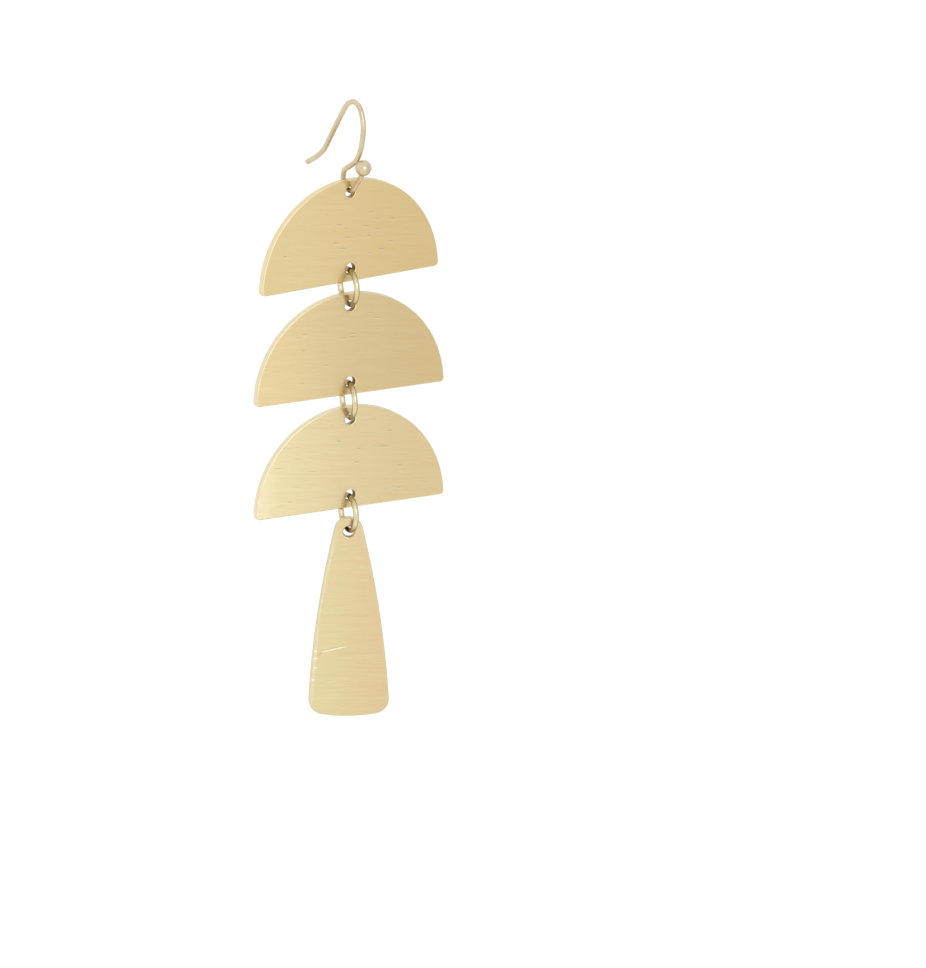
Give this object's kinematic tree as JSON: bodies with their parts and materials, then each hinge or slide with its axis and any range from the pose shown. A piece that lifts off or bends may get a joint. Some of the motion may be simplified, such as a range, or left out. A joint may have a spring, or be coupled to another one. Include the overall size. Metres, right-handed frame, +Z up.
{
  "type": "chandelier earring",
  "caption": "Chandelier earring: brushed gold half moons hang one below the other on round jump rings, with a long tapered drop at the foot and a ball-ended ear hook at the top.",
  "frame": {"origin": "underside of the ear hook's top bend, where the ear lobe carries the earring", "axes": "+Z up along the hanging line, -Y towards the front of the half moons, +X to the right of someone who faces them"},
  "size_m": [0.034, 0.0154, 0.1037],
  "materials": {
    "brushed_gold": "satin, with fine brush lines straight across each plate",
    "polished_gold": "polished"
  },
  "bodies": {
    "hook": {"ear_hook": "polished_gold"},
    "top_moon": {"half_moon_top": "brushed_gold"},
    "upper_ring": {"ring_upper": "polished_gold"},
    "middle_moon": {"half_moon_middle": "brushed_gold"},
    "middle_ring": {"ring_middle": "polished_gold"},
    "lower_moon": {"half_moon_lower": "brushed_gold"},
    "lower_ring": {"ring_lower": "polished_gold"},
    "drop": {"tapered_drop": "brushed_gold"}
  },
  "joints": [
    {"name": "top_moon_swing", "type": "hinge", "parent": "hook", "child": "top_moon", "pos_m": [0, 0, -0.01457], "axis": [0.225, -0.9744, 0], "range_deg": [-45, 45]},
    {"name": "upper_ring_rock", "type": "hinge", "parent": "top_moon", "child": "upper_ring", "pos_m": [0, 0, -0.02782], "axis": [0.9998, 0.0174, 0], "range_deg": [-15, 15]},
    {"name": "middle_moon_swing", "type": "hinge", "parent": "upper_ring", "child": "middle_moon", "pos_m": [0, 0, -0.03358], "axis": [0.0174, -0.9998, 0], "range_deg": [-25, 25]},
    {"name": "middle_ring_rock", "type": "hinge", "parent": "middle_moon", "child": "middle_ring", "pos_m": [0, 0, -0.0468], "axis": [0.9945, -0.1045, 0], "range_deg": [-15, 15]},
    {"name": "lower_moon_swing", "type": "hinge", "parent": "middle_ring", "child": "lower_moon", "pos_m": [0, 0, -0.05256], "axis": [-0.1045, -0.9945, 0], "range_deg": [-25, 25]},
    {"name": "lower_ring_rock", "type": "hinge", "parent": "lower_moon", "child": "lower_ring", "pos_m": [0, 0, -0.06578], "axis": [0.9994, -0.0349, 0], "range_deg": [-15, 15]},
    {"name": "drop_swing", "type": "hinge", "parent": "lower_ring", "child": "drop", "pos_m": [0, 0, -0.07154], "axis": [-0.0349, -0.9994, 0], "range_deg": [-60, 60]}
  ]
}
